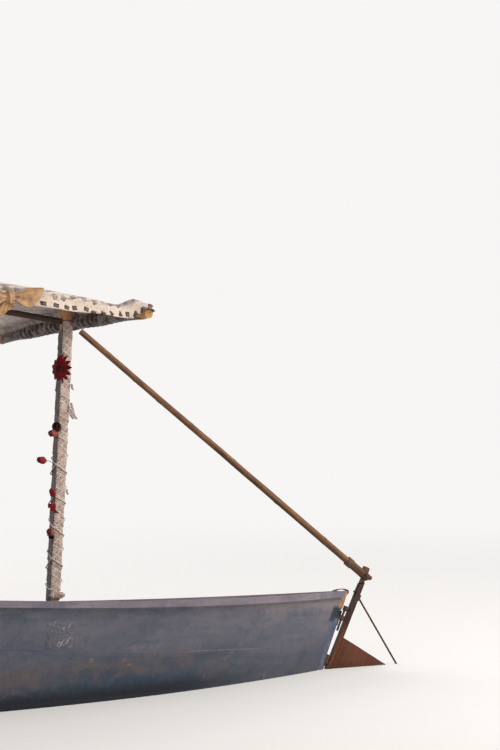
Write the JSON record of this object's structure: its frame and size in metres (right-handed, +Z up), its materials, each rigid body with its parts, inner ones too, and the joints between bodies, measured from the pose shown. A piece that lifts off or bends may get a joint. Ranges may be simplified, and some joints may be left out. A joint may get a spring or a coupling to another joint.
{
  "type": "open wooden boat with awning",
  "caption": "Double-ended open wooden boat with a cloth awning on posts and poles, a raked rudder and a long raised tiller pole.",
  "frame": {"origin": "on the centreline amidships, at the height of the water the boat floats in", "axes": "+X forward along the keel, +Y to port, +Z up"},
  "size_m": [6.487, 1.849, 2.4826],
  "materials": {
    "hull_paint": "weathered matt blue-grey paint",
    "bottom_paint": "worn darker blue paint",
    "rail_paint": "chalky lavender-grey paint",
    "inside_paint": "worn matt paint",
    "timber_weathered": "bare weathered timber with paint remains",
    "bare_wood": "bare grey-brown timber",
    "post_wood": "bare sawn timber",
    "pole_wood": "dry knotty pole, bark off",
    "sleeve_wood": "dark worn timber socket",
    "rudder_wood": "red-brown oxide paint on timber",
    "iron": "rusted black iron",
    "awning_cloth": "cream cotton with a small dark print",
    "scarf_cloth": "brown-gold satin",
    "wrap_cloth": "white crocheted cotton",
    "flower_cloth": "red cloth petals"
  },
  "bodies": {
    "hull": {"sternpost": "timber_weathered", "keel": "bottom_paint", "stem": "hull_paint", "ribs": "inside_paint", "inwales": "rail_paint", "rub_rails": "rail_paint", "thwart_risers": "inside_paint", "thwarts": "bare_wood", "aft_breasthook": "rail_paint", "fore_breasthook": "rail_paint", "floor_bearers": "bare_wood", "floorboards": "bare_wood", "post_steps": "bare_wood", "aft_post": "post_wood", "fore_post": "post_wood", "aft_crossbar": "pole_wood", "fore_crossbar": "pole_wood", "ridge_pole": "pole_wood", "canopy": "awning_cloth", "scarf_bow": "scarf_cloth", "post_wrap": "wrap_cloth", "flowers": "flower_cloth", "sternhead_strap": "iron", "upper_gudgeon": "iron", "lower_gudgeon": "iron", "upper_strakes": "hull_paint", "lower_strakes": "hull_paint", "bilge_strakes": "bottom_paint", "garboards": "bottom_paint"},
    "rudder": {"rudder_stock": "rudder_wood", "rudder_head": "iron", "rudder_blade": "rudder_wood", "stay_rod": "iron", "upper_pintle": "iron", "lower_pintle": "iron"},
    "tiller": {"tiller_sleeve": "sleeve_wood", "tiller_pole": "pole_wood", "tiller_pin": "iron"}
  },
  "joints": [
    {"name": "rudder_swing", "type": "hinge", "parent": "hull", "child": "rudder", "pos_m": [-2.925, 0, 0.32], "axis": [-0.4472, 0, 0.8944], "range_deg": [-35, 35]},
    {"name": "tiller_lift", "type": "hinge", "parent": "rudder", "child": "tiller", "pos_m": [-3.049, 0, 0.48], "axis": [0, -1, 0], "range_deg": [0, 35]}
  ]
}
